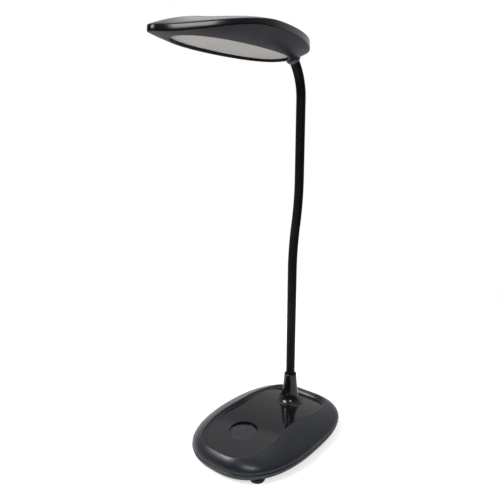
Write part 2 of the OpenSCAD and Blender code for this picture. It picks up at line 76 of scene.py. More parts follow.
neck = {
    "y": 54.0, "radius": 4.15, "bore": 3.4, "shift": 8.5, "bendZ0": 150.0, "bendZ1": 235.0,
    "firstZ": 62.0, "lastZ": 303.0, "links": 9, "topBend": 44.0, "topTurn": 44.0, "footZ": 24.0,
    "leadRadius": 0.48, "leadZ": 11.9, "leadTurn": 54.0, "around": 72, "rings": 40,
}
head = {
    "halfWidth": 43.2, "midY": -32.0, "front": 73.0, "rear": 91.0,
    "bellPower": 1.22, "rearPowerX": 1.2, "rearPowerY": 1.18,
    "tipHalfWidth": 10.0, "tipFade": 0.08, "tipInset": 1.4,
    "bottomZ": 330.0, "domeZ": 349.0, "domeY": -25.0, "domePower": 2.2,
    "archY": -109.0,
    "seamDrop": 0.3, "seamRise": 8.2, "seamLength": 66.0, "seamPower": 2.3,
    "bandLift": 3.7, "bandRise": 9.2, "bandLength": 80.0, "bandPower": 1.6,
    "bandSlope": 0.017, "bandSlopeY": -40.0,
    "lightHalfWidth": 21.5, "lightY": -25.5, "lightHalfLength": 58.5, "lightFullness": 2.3,
    "around": 320,
}
originY = (base["midY"] + base["rear"] + head["midY"] - head["front"]) / 2  # as in the frame


def mix(a, b, g):
    return a + (b - a) * g


def ease(g):
    g = np.clip(g, 0, 1)
    return g * g * (3 - 2 * g)


def signedPower(value, power):
    return np.sign(value) * np.abs(value) ** power


def eggLine(angle, halfWidth, mid, front, frontFull, rear, rearFull):
    # a superellipse whose front half and rear half have their own length and fullness
    fullness = np.where(np.sin(angle) < 0, frontFull, rearFull)
    length = np.where(np.sin(angle) < 0, front, rear)
    x = halfWidth * signedPower(np.cos(angle), 2 / fullness)
    return x, mid + length * signedPower(np.sin(angle), 2 / fullness)


def baseLine(angle, inset):
    return eggLine(angle, base["halfWidth"] - inset, base["midY"], base["front"] - inset,
                   base["frontFullness"], base["rear"] - inset, base["rearFullness"])


def rimLine(angle, inset):
    x, y = eggLine(angle, base["rimHalfWidth"] - inset, base["rimMidY"],
                   base["rimFront"] - inset, base["rimFrontFullness"],
                   base["rimRear"] - inset, base["rimRearFullness"])
    return x * (1 - base["waist"] * np.exp(-((y - base["waistY"]) / base["waistLength"]) ** 2)), y


def rimHeight(y):
    # an ease from the front height to the rear height, with a bell-shaped rise in the middle
    ends = mix(base["rimFrontZ"], base["rimRearZ"], ease(
        (y - base["rimEaseFrom"]) / base["rimEaseLength"]))
    return ends + base["rimRise"] * np.exp(-((y - base["rimRiseY"]) / base["rimRiseLength"]) ** 2)


def crownHeight(y):
    # the panel's long crown, an arc seen from the side
    return base["panelZ"] - base["panelCrown"] + np.sqrt(
        base["panelCrown"] ** 2 - (y - base["panelCrownY"]) ** 2)


def headLine(angle, inset):
    # a leaf: a bell curve down to a small rounded tip in front, and a full superellipse behind;
    # u goes from 0 at the tip to 1 at the widest place
    degrees = np.degrees(angle) % 360
    halfWidth = head["halfWidth"] - inset
    u = np.abs(270 - np.where(degrees > 180, degrees, 270)) / 90
    bell = np.maximum(0, np.cos(np.pi / 2 * (1 - u))) ** head["bellPower"]
    tip = head["tipHalfWidth"] * np.sqrt(u * (2 - u)) * np.exp(-u / head["tipFade"])
    atFront = (degrees > 180) & (degrees < 360)
    x = np.where(atFront, np.sign(degrees - 270) * (halfWidth * bell + tip),
                 halfWidth * signedPower(np.cos(angle), head["rearPowerX"]))
    rearLength = (head["rear"] - inset) * signedPower(np.sin(angle), head["rearPowerY"])
    y = np.where(atFront, head["midY"] - (head["front"] - head["tipInset"] * inset) * (1 - u),
                 head["midY"] + rearLength)
    return x, y


def arch(y, length, power):
    # how far the leaf is arched, seen from the side: 0 near the tip and 1 a length further back
    return np.sin(np.pi / 2 * np.clip((y - head["archY"]) / length, 0, 1)) ** power


def seamHeight(y):
    # where the lower frame meets the top cover
    return head["bottomZ"] - head["seamDrop"] + head["seamRise"] * arch(
        y, head["seamLength"], head["seamPower"])


def bandHeight(y):
    # the upper edge of the band, which also climbs a little towards the rear
    return (head["bottomZ"] + head["bandLift"]
            + head["bandRise"] * arch(y, head["bandLength"], head["bandPower"])
            + head["bandSlope"] * np.maximum(0, y - head["bandSlopeY"]))


def lightLine(angle, inset):
    return eggLine(angle, head["lightHalfWidth"] - inset, head["lightY"],
                   head["lightHalfLength"] - inset, head["lightFullness"],
                   head["lightHalfLength"] - inset, head["lightFullness"])


def angles(count):
    return np.arange(count) * 2 * np.pi / count


def makePiece(name, points, quads, sharpAngle=32):
    # points in millimetres in the fit frame, faces as rows of corner numbers
    mesh = bpy.data.meshes.new(name)
    placed = (np.asarray(points, float).reshape(-1, 3) - [0, originY, 0]) * toMetres
    mesh.from_pydata(placed.tolist(), [], [list(q) for q in quads])
    mesh.shade_smooth()
    mesh.set_sharp_from_angle(angle=math.radians(sharpAngle))
    mesh.validate()
    piece = bpy.data.objects.new(name, mesh)
    bpy.context.scene.collection.objects.link(piece)
    return piece


def gridFaces(rows, columns, closeRows=False):
    # quads between neighbouring rows and columns of a grid of points, whose columns go round
    r, c = np.meshgrid(np.arange(rows if closeRows else rows - 1), np.arange(columns),
                       indexing="ij")
    rNext, cNext = (r + 1) % rows, (c + 1) % columns
    corners = [r * columns + c, r * columns + cNext, rNext * columns + cNext, rNext * columns + c]
    return np.stack(corners, -1).reshape(-1, 4)


def closedFaces(rows, columns):
    # a grid that is a tube, with one flat face over its first ring and one over its last
    ring = np.arange(columns)
    return [*gridFaces(rows, columns), ring[::-1], ring + (rows - 1) * columns]


def loftPiece(name, rings, closeRows=False):
    # rings of points run up the outside, so that the faces point outwards; the last one joins
    # the first, or both are closed by a flat face
    points = np.stack([np.stack(np.broadcast_arrays(*ring), -1) for ring in rings])
    rows, columns = points.shape[:2]
    quads = gridFaces(rows, columns, True) if closeRows else closedFaces(rows, columns)
    return makePiece(name, points, quads)


class Value:
    # a socket in a material, whose arithmetic adds Math nodes
    def __init__(self, look, socket):
        self.look = look
        self.socket = socket

    def math(self, operation, *terms):
        settings = {"operation": operation}
        return self.look.add("ShaderNodeMath", settings, dict(enumerate(terms)))

    def __add__(self, other):
        return self.math("ADD", self, other)

    def __radd__(self, other):
        return self.math("ADD", other, self)

    def __sub__(self, other):
        return self.math("SUBTRACT", self, other)

    def __rsub__(self, other):
        return self.math("SUBTRACT", other, self)

    def __mul__(self, other):
        return self.math("MULTIPLY", self, other)

    def __rmul__(self, other):
        return self.math("MULTIPLY", other, self)

    def clamp(self):
        return self.math("MINIMUM", self.math("MAXIMUM", self, 0.0), 1.0)


class Look:
    # one material, with a single method that adds any node
    def __init__(self, name, world=None):
        self.holder = world or bpy.data.materials.new(name)
        self.holder.use_nodes = True
        self.tree = self.holder.node_tree
        self.tree.nodes.clear()

    def add(self, kind, settings=None, inputs=None, output=0):
        node = self.tree.nodes.new(kind)
        for key, value in (settings or {}).items():
            setattr(node, key, value)
        for key, value in (inputs or {}).items():
            if isinstance(value, Value):
                self.tree.links.new(value.socket, node.inputs[key])
            else:
                if node.inputs[key].type == "RGBA":
                    value = (*value, 1)
                node.inputs[key].default_value = value
        return Value(self, node.outputs[output]) if len(node.outputs) else None

    def noise(self, place, perMetre, detail=2.0, roughness=0.5):
        return self.add("ShaderNodeTexNoise", None, {
            "Vector": place, "Scale": perMetre, "Detail": detail, "Roughness": roughness})

    def place(self):
        return self.add("ShaderNodeTexCoord", None, None, "Object")

    def ramp(self, value, low, high, outLow=0.0, outHigh=1.0):
        settings = {"clamp": True, "interpolation_type": "SMOOTHSTEP"}
        return self.add("ShaderNodeMapRange", settings, {
            "Value": value, "From Min": low, "From Max": high,
            "To Min": outLow, "To Max": outHigh})

    def blend(self, factor, first, second):
        return self.add("ShaderNodeMix", {"data_type": "RGBA"}, {
            0: factor, 6: first, 7: second}, 2)

    def bump(self, height, strength, distance):
        return self.add("ShaderNodeBump", None, {
            "Height": height, "Strength": strength, "Distance": distance})

    def finish(self, **surface):
        shader = self.add("ShaderNodeBsdfPrincipled", None, surface)
        self.add("ShaderNodeOutputMaterial", None, {"Surface": shader})
        return self.holder


satin = {
    "grainPerMetre": 2600.0, "grainStrength": 0.35, "grainDepth": 0.00002,
    "cloudPerMetre": 38.0, "speckPerMetre": 900.0, "speckShare": 0.35, "cloudShare": 0.65,
    "handledShine": -0.05, "speckDullness": 0.05,
}


def satinPlastic(name, colour, lift, roughness, bending=1.5):
    # moulded plastic with a spark-eroded grain, a slow change of sheen and faint handling marks
    look = Look(name)
    place = look.place()
    grain = look.noise(place, satin["grainPerMetre"], 3.0, 0.6)
    cloud = look.noise(place, satin["cloudPerMetre"], 3.0, 0.55)
    speck = look.noise(place, satin["speckPerMetre"], 2.0, 0.5)
    handled = look.ramp(cloud, 0.42, 0.68)
    tone = look.ramp(speck * satin["speckShare"] + cloud * satin["cloudShare"], 0.35, 0.68)
    return look.finish(**{
        "Base Color": look.blend(tone, colour, lift),
        "Roughness": (roughness + handled * satin["handledShine"]
                      + look.ramp(speck, 0.3, 0.7) * satin["speckDullness"]),
        "Normal": look.bump(grain, satin["grainStrength"], satin["grainDepth"]),
        "IOR": bending,
    })


gloss = {
    "wavePerMetre": 60.0, "waveStrength": 0.18, "waveDepth": 0.00004,
    "hazePerMetre": 700.0, "hazeDullness": 0.02,
    "smudgePerMetre": 45.0, "smudgeDullness": 0.09, "smudgeLift": 1.7,
}


def glossPlastic(name, colour, roughness, smudge=0.5, bending=1.5):
    # polished plastic: a slight moulding wave, fine polishing haze and faint finger marks
    look = Look(name)
    place = look.place()
    wave = look.noise(place, gloss["wavePerMetre"], 1.0, 0.4)
    haze = look.noise(place, gloss["hazePerMetre"], 2.0, 0.6)
    marks = look.ramp(look.noise(place, gloss["smudgePerMetre"], 4.0, 0.62), 0.5, 0.72)
    brighter = tuple(c * gloss["smudgeLift"] for c in colour)
    return look.finish(**{
        "Base Color": look.blend(marks * 0.5 * smudge, colour, brighter),
        "Roughness": (roughness + marks * gloss["smudgeDullness"] * smudge
                      + haze * gloss["hazeDullness"]),
        "Normal": look.bump(wave, gloss["waveStrength"], gloss["waveDepth"]),
        "IOR": bending,
    })


rubber = {
    "grainPerMetre": 1500.0, "grainDepth": 0.00002, "bloomPerMetre": 60.0, "bloomShare": 0.6,
    "bloomLift": 1.9, "bloomGrey": 0.003,
}


def softRubber(name, colour, roughness, bending=1.5):
    # matt rubber, faintly mottled, with a dusty bloom in patches
    look = Look(name)
    place = look.place()
    grain = look.noise(place, rubber["grainPerMetre"], 3.0, 0.6)
    cloud = look.noise(place, rubber["bloomPerMetre"], 3.0, 0.6)
    bloom = look.ramp(cloud, 0.45, 0.7) * rubber["bloomShare"]
    dusty = tuple(c * rubber["bloomLift"] + rubber["bloomGrey"] for c in colour)
    return look.finish(**{
        "Base Color": look.blend(bloom, colour, dusty),
        "Roughness": roughness + look.ramp(grain, 0.3, 0.7) * 0.08,
        "Normal": look.bump(grain, 0.3, rubber["grainDepth"]),
        "IOR": bending,
    })


plated = {"spanglePerMetre": 260.0, "spangleShade": 0.72, "drawnPerMetre": 500.0,
          "drawnDullness": 0.12, "drawnDepth": 0.00001}


def platedSteel(name, colour, roughness):
    # zinc-plated steel, with a spangled tone and drawn marks
    look = Look(name)
    place = look.place()
    spangle = look.add("ShaderNodeTexVoronoi", None, {
        "Vector": place, "Scale": plated["spanglePerMetre"]}, "Color")
    tone = look.add("ShaderNodeSeparateColor", None, {"Color": spangle})
    drawn = look.noise(place, plated["drawnPerMetre"], 4.0, 0.7)
    shaded = tuple(c * plated["spangleShade"] for c in colour)
    return look.finish(**{
        "Base Color": look.blend(tone * 0.5, colour, shaded),
        "Metallic": 1.0,
        "Roughness": roughness + drawn * plated["drawnDullness"],
        "Normal": look.bump(drawn, 0.15, plated["drawnDepth"]),
    })


plain = {"grainPerMetre": 1200.0, "grainDepth": 0.00001, "cloudPerMetre": 120.0, "cloudLift": 1.25}


def plainPlastic(name, colour, roughness=0.45):
    # as-moulded plastic of the small and inner parts, with a fine grain and a slow change of tone
    look = Look(name)
    place = look.place()
    grain = look.noise(place, plain["grainPerMetre"], 2.0, 0.5)
    cloud = look.noise(place, plain["cloudPerMetre"], 2.0, 0.5)
    lifted = tuple(min(1.0, c * plain["cloudLift"]) for c in colour)
    return look.finish(**{
        "Base Color": look.blend(look.ramp(cloud, 0.3, 0.7), colour, lifted),
        "Roughness": roughness + grain * 0.06,
        "Normal": look.bump(grain, 0.2, plain["grainDepth"]),
        "IOR": 1.5,
    })


board = {
    "trackPerMetre": 330.0, "trackHeight": 0.00004, "maskPerMetre": 300.0,
    "mask": (0.012, 0.09, 0.035), "track": (0.03, 0.2, 0.08), "thickMask": (0.01, 0.06, 0.03),
}


def circuitBoard(name):
    # green solder mask over copper tracks, seen as paler lines where cells of a pattern meet
    look = Look(name)
    place = look.place()
    cells = {"feature": "DISTANCE_TO_EDGE", "distance": "CHEBYCHEV"}
    edge = look.add("ShaderNodeTexVoronoi", cells, {
        "Vector": place, "Scale": board["trackPerMetre"]})
    track = 1 - look.ramp(edge, 0.04, 0.09)
    thickness = look.noise(place, board["maskPerMetre"], 3.0, 0.5)
    colour = look.blend(track, board["mask"], board["track"])
    return look.finish(**{
        "Base Color": look.blend(thickness * 0.3, colour, board["thickMask"]),
        "Roughness": 0.28 + thickness * 0.12,
        "Normal": look.bump(track, 0.4, board["trackHeight"]),
        "IOR": 1.5,
    })


frosted = {
    "colour": (0.68, 0.65, 0.62), "lift": (0.74, 0.71, 0.68), "cloudPerMetre": 30.0,
    "etchedPerMetre": 1800.0, "etchedDepth": 0.00001,
}


def frostedDiffuser(name):
    # frosted plate with a fine etched grain and a slow change of tone
    look = Look(name)
    place = look.place()
    etched = look.noise(place, frosted["etchedPerMetre"], 3.0, 0.6)
    cloud = look.noise(place, frosted["cloudPerMetre"], 2.0, 0.5)
    return look.finish(**{
        "Base Color": look.blend(look.ramp(cloud, 0.3, 0.7), frosted["colour"], frosted["lift"]),
        "Roughness": 0.5 + etched * 0.1,
        "Normal": look.bump(etched, 0.25, frosted["etchedDepth"]),
        "IOR": 1.49,
    })


phosphor = {"colour": (0.75, 0.62, 0.16), "lift": (0.85, 0.75, 0.3), "grainPerMetre": 1500.0}


def emitterLens(name):
    # the emitters' phosphor, faintly grained
    look = Look(name)
    grain = look.noise(look.place(), phosphor["grainPerMetre"], 2.0, 0.5)
    return look.finish(**{
        "Base Color": look.blend(grain, phosphor["colour"], phosphor["lift"]),
        "Roughness": 0.35 + grain * 0.1,
        "IOR": 1.45,
    })


print("making finishes")
finishes = {
    # slot: name, colour, for satin its lifted colour, and roughness
    "satin_body": satinPlastic("satinBody", (0.007, 0.009, 0.0145), (0.0105, 0.013, 0.02), 0.3),
    "satin_head": satinPlastic("satinHead", (0.004, 0.0048, 0.013), (0.007, 0.008, 0.018), 0.34,
                               bending=1.37),
    "gloss_panel": glossPlastic("glossPanel", (0.005, 0.0055, 0.0075), 0.09, bending=1.42),
    "gloss_button": glossPlastic("glossButton", (0.014, 0.015, 0.018), 0.2, smudge=0.8),
    "gloss_collar": glossPlastic("glossCollar", (0.004, 0.004, 0.005), 0.12, smudge=0.2),
    "gloss_head": glossPlastic("glossHead", (0.008, 0.0085, 0.011), 0.13, smudge=0.3),
    "steel": platedSteel("platedSteel", (0.52, 0.52, 0.53), 0.3),
    "core_steel": platedSteel("coreSteel", (0.4, 0.4, 0.41), 0.36),
    "screws": platedSteel("screwSteel", (0.56, 0.56, 0.56), 0.26),
    "contact_metal": platedSteel("contactMetal", (0.72, 0.66, 0.5), 0.2),
    "rubber_feet": softRubber("feetRubber", (0.008, 0.008, 0.008), 0.7),
    "sleeve_rubber": softRubber("sleeveRubber", (0.002, 0.002, 0.003), 0.42, bending=1.25),
    "switch_plastic": plainPlastic("switchPlastic", (0.02, 0.02, 0.02)),
    "jack_plastic": plainPlastic("inletPlastic", (0.012, 0.012, 0.012), 0.4),
    "circuit_board": circuitBoard("boardMask"),
    "components": plainPlastic("componentBodies", (0.03, 0.03, 0.032), 0.5),
    "lead_insulation": plainPlastic("leadInsulation", (0.3, 0.02, 0.02), 0.4),
    "socket_plastic": plainPlastic("greyBush", (0.09, 0.09, 0.1)),
    "diffuser_plastic": frostedDiffuser("frostedDiffuser"),
    "led_board_white": plainPlastic("whiteBoard", (0.72, 0.72, 0.7), 0.4),
    "led_lens": emitterLens("emitterLens"),
}
slotOf = {part["node"]: part["material_slot"] for part in frame["record"]["subparts"]}
for nodeName, node in nodes.items():
    node.data.materials.clear()
    node.data.materials.append(finishes[slotOf[nodeName]])


def dress(piece, body, slot, *replaced):
    # finish, body, and the solids that the piece stands for
    piece.data.materials.append(finishes[slot])
    if body:
        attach(piece, body)
    if replaced:
        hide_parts(*replaced)


cover = {
    "wall": 2.3, "innerDrop": 2.6, "seamGap": 0.1, "rimStep": 0.25,
    "outerRimInset": -0.6, "innerRimInset": -0.2, "bulge": 0.3, "bulgeTurn": 12.0,
    "lowerEdge": ((2.3, 0.1), (0.9, 0.1), (0.6, 0.18), (0.42, 0.36)),  # inset, height over seam
    "outerTurns": (3.2, 4.5, 6.0), "innerTurns": (42, 34, 25, 16, 8),
    "rollAcross": 1.3, "rollDown": 1.2, "rollInset": -0.2,
    "wallInset": (1.1, 2.95), "wallSteps": (0.35, 0.7, 1.0), "wallFoot": 0.2,
    "ledge": ((2.97, 0.05), (3.0, 0.4), (3.0, 2.15), (5.2, 2.15), (5.2, 3.8), (0.2, 3.8)),
}  # the ledge's pairs are the inset from the rim and the depth under the panel's crown


def shoulderRing(g, h, inset, drop, t):
    # between the widest outline and the rim: g across, h upwards
    wx, wy = baseLine(t, inset)
    cx, cy = rimLine(t, cover["innerRimInset" if inset > 1 else "outerRimInset"])
    low = base["seamZ"] + cover["seamGap"]
    return mix(wx, cx, g), mix(wy, cy, g), mix(low, rimHeight(cy) - cover["rimStep"] - drop, h)


def shoulderTurn(degrees):
    # how far across and how far up the shoulder is, as shares of the whole
    last, power = math.radians(base["shoulderTurn"]), base["shoulderPower"]
    a = math.radians(degrees)
    across = (1 - math.cos(a) ** power) / (1 - math.cos(last) ** power)
    return across, (math.sin(a) / math.sin(last)) ** power


def topCover():
    # the shoulder turns up from the seam to the rim, the rim rolls over, the wall drops to the
    # panel's ledge, and the inner surface goes back down
    t = angles(base["around"])
    rings = []
    for inset, rise in cover["lowerEdge"]:
        x, y = baseLine(t, inset)
        rings.append((x, y, np.full_like(x, base["seamZ"] + rise)))
    first, second, third = cover["outerTurns"]
    for degrees in (first, second, *np.linspace(third, base["shoulderTurn"], 32)):
        bulge = cover["bulge"] * max(0, 1 - degrees / cover["bulgeTurn"])
        rings.append(shoulderRing(*shoulderTurn(degrees), bulge, 0, t))
    for a in np.radians(np.linspace(0, 90, 9)):
        x, y = rimLine(t, cover["rollAcross"] * np.sin(a) + cover["rollInset"])
        rings.append((x, y, rimHeight(y) - cover["rollDown"] * (1 - np.cos(a))))
    wallTop = rings[-1][2]
    for step in cover["wallSteps"]:
        x, y = rimLine(t, mix(*cover["wallInset"], step))
        rings.append((x, y, mix(wallTop, crownHeight(y) + cover["wallFoot"], step)))
    for inset, drop in cover["ledge"]:
        x, y = rimLine(t, inset)
        rings.append((x, y, crownHeight(y) - drop))
    for degrees in cover["innerTurns"]:
        rings.append(shoulderRing(*shoulderTurn(degrees), cover["wall"], cover["innerDrop"], t))
    return loftPiece("topCover", rings, closeRows=True)


housing = {
    # inset from the widest outline, and height over the underside or depth under the seam
    "outside": ((9, 0), (6, 0.2), (4.4, 0.55), (3.2, 1), (2.2, 1.65), (1.5, 2.4), (0.95, 3.3),
                (0.6, 4.2), (0.3, 5.5)),
    "edge": ((0.1, 0.75), (0.16, 0.5), (0.34, 0.28), (0.7, 0.12), (2.4, 0.1)),
    "inside": ((2.7, 4.4), (4.6, 3), (8, 2.2), (11, 2)),
}


def lowerHousing():
    # the wall curves out and up from the flat underside to a rounded edge under the seam
    t = angles(base["around"])
    low, top = base["housingZ"], base["seamZ"]
    profile = [(inset, low + height) for inset, height in housing["outside"]]
    profile += [(inset, top - depth) for inset, depth in housing["edge"]]
    profile += [(inset, low + height) for inset, height in housing["inside"]]
    return loftPiece("lowerHousing", [(*baseLine(t, inset), z) for inset, z in profile])


panel = {"meetY": 18.0, "neckHole": 7.2, "outlineSteps": 4000, "rays": 360, "rows": 40}


def panelSurface():
    # two patches, one round the button opening and one round the neck, that meet on a cross line;
    # each ray from a hole's centre ends on the panel's outline or on that line
    ox, oy = rimLine(angles(panel["outlineSteps"]), base["panelInset"])
    a = angles(panel["rays"])
    g = np.linspace(0, 1, panel["rows"])[:, None]
    points, quads, start = [], [], 0
    for centreY, radius in ((button["y"], button["opening"]), (neck["y"], panel["neckHole"])):
        bearing = np.arctan2(oy - centreY, ox) % (2 * np.pi)
        order = np.argsort(bearing)
        reach = np.interp(a, bearing[order], np.hypot(ox, oy - centreY)[order], period=2 * np.pi)
        slope = np.where(np.abs(np.sin(a)) < 1e-9, 1e-9, np.sin(a))  # never quite level
        toLine = (panel["meetY"] - centreY) / slope
        reach = np.where((toLine > 0) & (toLine < reach), toLine, reach)
        distance = radius + (reach - radius) * g
        y = centreY + distance * np.sin(a)
        surface = np.stack([distance * np.cos(a), y, crownHeight(y)], -1)
        under = surface - [0, 0, base["panelThickness"]]
        grid = np.concatenate([under[:1], surface, under[-1:]])
        quads.append(gridFaces(len(grid), len(a), closeRows=True)[:, ::-1] + start)
        points.append(grid.reshape(-1, 3))
        start += len(grid) * len(a)
    return makePiece("glossPanel", np.concatenate(points), np.concatenate(quads), 30)


def buttonCap():
    # a dished cap with a rolled edge, over the flange that keeps it under the panel
    z, side, flange = button["top"], button["radius"], button["flange"]
    edge, step = button["edge"], z - button["flangeTop"]
    profile = [(flange, z - button["flangeFoot"]), (flange, step), (side, step), (side, z - edge)]
    profile += [(side - edge + edge * math.cos(a), z - edge + edge * math.sin(a))
                for a in np.radians(np.linspace(0, 90, 7))[1:]]
    profile += [(r, dishHeight(r)) for r in np.linspace(side - 0.55, 0.6, 20)]
    a = angles(button["around"])
    rings = [(r * np.cos(a), button["y"] + r * np.sin(a), height) for r, height in profile]
    return loftPiece("buttonCap", rings)


def dishHeight(r):
    # a shallow bowl that is deepest in the middle of the cap
    share = r / (button["radius"] - button["edge"])
    return button["top"] - button["dishDrop"] - button["dish"] * (1 - share ** 2)


mark = {
    "radius": 3.6, "width": 0.55, "gap": 38.0, "rise": 0.05, "sunk": -0.03, "crest": 0.7,
    "strokeFrom": 1.0, "stroke": 3.4, "ringSteps": 60, "strokeSteps": 8,
}


def powerMark():
    # the usual mark of a power switch: a broken ring and an upright stroke, as a thin raised band
    sweep = np.radians(np.linspace(90 + mark["gap"], 450 - mark["gap"], mark["ringSteps"]))
    outwards = np.stack([np.cos(sweep), np.sin(sweep)], -1)
    strokeY = np.linspace(mark["strokeFrom"], mark["strokeFrom"] + mark["stroke"],
                          mark["strokeSteps"])
    stroke = np.stack([np.zeros_like(strokeY), strokeY], -1)
    points, quads, start = [], [], 0
    section = ((-1, "sunk"), (-mark["crest"], "rise"), (mark["crest"], "rise"), (1, "sunk"))
    for line, across in ((outwards * mark["radius"], outwards), (stroke, np.array([[1.0, 0.0]]))):
        edges = []
        for share, lift in section:
            x, y = (line + across * mark["width"] / 2 * share).T
            z = dishHeight(np.hypot(x, y)) + mark[lift]
            edges.append(np.stack([x, button["y"] + y, z], -1))
        grid = np.stack(edges, 1)
        quads += [face + start for face in closedFaces(len(grid), len(section))]
        points.append(grid.reshape(-1, 3))
        start += len(points[-1])
    return makePiece("powerMark", np.concatenate(points), quads, 30)


print("making the base")
dress(topCover(), "base", "satin_body", "base_top_cover")
dress(lowerHousing(), "base", "satin_body", "base_bottom_cover")
dress(panelSurface(), "base", "gloss_panel", "base_panel")
dress(buttonCap(), "button", "gloss_button", "power_button")
dress(powerMark(), "button", "satin_body")


def neckPath(z):
    # centre line of the neck: straight, a shallow S of two arcs, and straight again
    half = (neck["bendZ1"] - neck["bendZ0"]) / 2
    radius = (half ** 2 + neck["shift"] ** 2 / 4) / neck["shift"]
    low = np.clip(z - neck["bendZ0"], 0, half)
    high = np.clip(neck["bendZ1"] - z, 0, half)
    return np.where(z < neck["bendZ0"] + half,
                    neck["y"] + radius - np.sqrt(radius ** 2 - low ** 2),
                    neck["y"] + neck["shift"] - radius + np.sqrt(radius ** 2 - high ** 2))


def neckPoint(s):
    # place on the centre line at s, which is z up to the last joint and the bend's length past it
    turn = np.clip(s - neck["lastZ"], 0, None) / neck["topBend"]
    z = np.minimum(s, neck["lastZ"])
    y = neckPath(z) - neck["topBend"] * (1 - np.cos(turn))
    return np.stack([np.zeros_like(y), y, z + neck["topBend"] * np.sin(turn)], -1)


def leadPoint(s):
    # the lead keeps to the links' bores, so it runs straight from each joint to the next
    joints = np.linspace(neck["firstZ"], neck["lastZ"], neck["links"] + 1)
    points = neckPoint(s)
    inLinks = (s > neck["firstZ"]) & (s < neck["lastZ"])
    points[:, 1] = np.where(inLinks, np.interp(s, joints, neckPath(joints)), points[:, 1])
    return points


def neckRings(line, s, radius):
    # rings along a centre line at the places s, each square to the line
    nearby = 0.05
    along = line(s + nearby) - line(s - nearby)
    along /= np.linalg.norm(along, axis=1)[:, None]
    side = np.array([1.0, 0, 0])
    rear = np.cross(along, side)
    a = angles(neck["around"])[:, None]
    return line(s)[:, None] + radius * (side * np.cos(a) + rear[:, None] * np.sin(a))


def sleevePiece(name, s):
    # a tube with its bore
    outer = neckRings(neckPoint, s, neck["radius"])
    inner = neckRings(neckPoint, s, neck["bore"])[::-1]
    return makePiece(name, np.concatenate([outer, inner]),
                     gridFaces(2 * len(s), neck["around"], closeRows=True))


def leadPiece(name, s):
    # a round lead, closed at both ends
    return makePiece(name, neckRings(leadPoint, s, neck["leadRadius"]),
                     closedFaces(len(s), neck["around"]))


def makeNeck():
    # a length of sleeve and of lead for each joint, from the middle of one link to the middle of
    # the next
    links = neck["links"]
    pitch = (neck["lastZ"] - neck["firstZ"]) / links
    kinds = (
        ("neckSleeve", sleevePiece, "sleeve_rubber", "neck_sleeve", neck["footZ"], neck["topTurn"]),
        ("neckLead", leadPiece, "lead_insulation", "neck_lead", neck["leadZ"], neck["leadTurn"]),
    )
    for name, build, slot, node, foot, topTurn in kinds:
        top = neck["lastZ"] + neck["topBend"] * math.radians(topTurn)
        for i in range(links + 1):
            joint = neck["firstZ"] + pitch * i
            s0 = foot if i == 0 else joint - pitch / 2
            s1 = top if i == links else joint + pitch / 2
            piece = build("%s%d" % (name, i + 1), np.linspace(s0, s1, neck["rings"]))
            dress(piece, None, slot, *([node] if i == 0 else []))
            start, end = (
                (neckPoint(np.array([joint + k * pitch / 2]))[0] - [0, originY, 0]) * toMetres
                for k in (-1, 1))
            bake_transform(piece)


flare = {
    "bore": 4.6, "spread": 9.6, "reach": 8.75, "power": 0.6, "height": 28.4,
    "footRadius": 13.9, "footGap": 0.06, "footFade": 7.0, "lipAcross": 0.55, "lipRise": 0.7,
    "innerRise": 0.4, "innerFoot": 12.0, "around": 160,
}


def collar():
    # a trumpet flare whose radius falls off with height as a stretched exponential, and whose foot
    # follows the panel's crown
    a = angles(flare["around"])
    foot = crownHeight(neck["y"])

    def ring(radius, h):
        x, y = radius * np.cos(a), neck["y"] + radius * np.sin(a)
        follow = math.exp(-(h / flare["footFade"]) ** 2)
        return x, y, foot + h + (crownHeight(y) - foot) * follow

    rings = [ring(flare["bore"], flare["footGap"]), ring(flare["footRadius"], flare["footGap"])]
    for h in (*np.geomspace(0.12, 2, 16), *np.linspace(2.5, flare["height"], 34)):
        fall = math.exp(-(h / flare["reach"]) ** flare["power"])
        rings.append(ring(flare["bore"] + flare["spread"] * fall, h))
    lip = rings[-1][0][0] - flare["lipAcross"]
    for turn in np.radians(np.linspace(20, 90, 6)):
        rings.append(ring(lip + flare["lipAcross"] * math.cos(turn),
                          flare["height"] + flare["lipRise"] * math.sin(turn)))
    rings.append(ring(flare["bore"], flare["height"] + flare["innerRise"]))
    rings.append(ring(flare["bore"], flare["innerFoot"]))
    return loftPiece("neckCollar", rings, closeRows=True)


print("making the neck")
makeNeck()
dress(collar(), "base", "gloss_collar", "neck_collar")


shell = {
    "seamGap": 0.1, "sweepPower": 1.35, "edge": 1.8, "inside": 3.4, "openingRises": (1.0, 0.25),
    "innerRises": ((1, 0.6), (0.6, 1.8), (0.3, 1.9), (0.07, 2.1), (0, 2.3)),  # g, rise
}


def frameRing(g, rise, t, inset=0):
    # between the light opening and the seam: g across
    ox, oy = lightLine(t, 0)
    sx, sy = headLine(t, inset)
    z = mix(head["bottomZ"], seamHeight(sy) - shell["seamGap"], g ** shell["sweepPower"])
    return mix(ox, sx, g), mix(oy, sy, g), z + rise


def headFrame():
    # the lower shell sweeps from the light opening out and up to the seam
    t = angles(head["around"])
    rings = [frameRing(0, rise, t) for rise in shell["openingRises"]]
    rings += [frameRing(g, 0, t) for g in (0.012, *np.linspace(0.03, 1, 30))]
    x, y = headLine(t, shell["edge"])
    rings.append((x, y, seamHeight(y) - shell["seamGap"]))
    rings += [frameRing(g, rise, t, shell["inside"]) for g, rise in shell["innerRises"]]
    return loftPiece("headFrame", rings, closeRows=True)


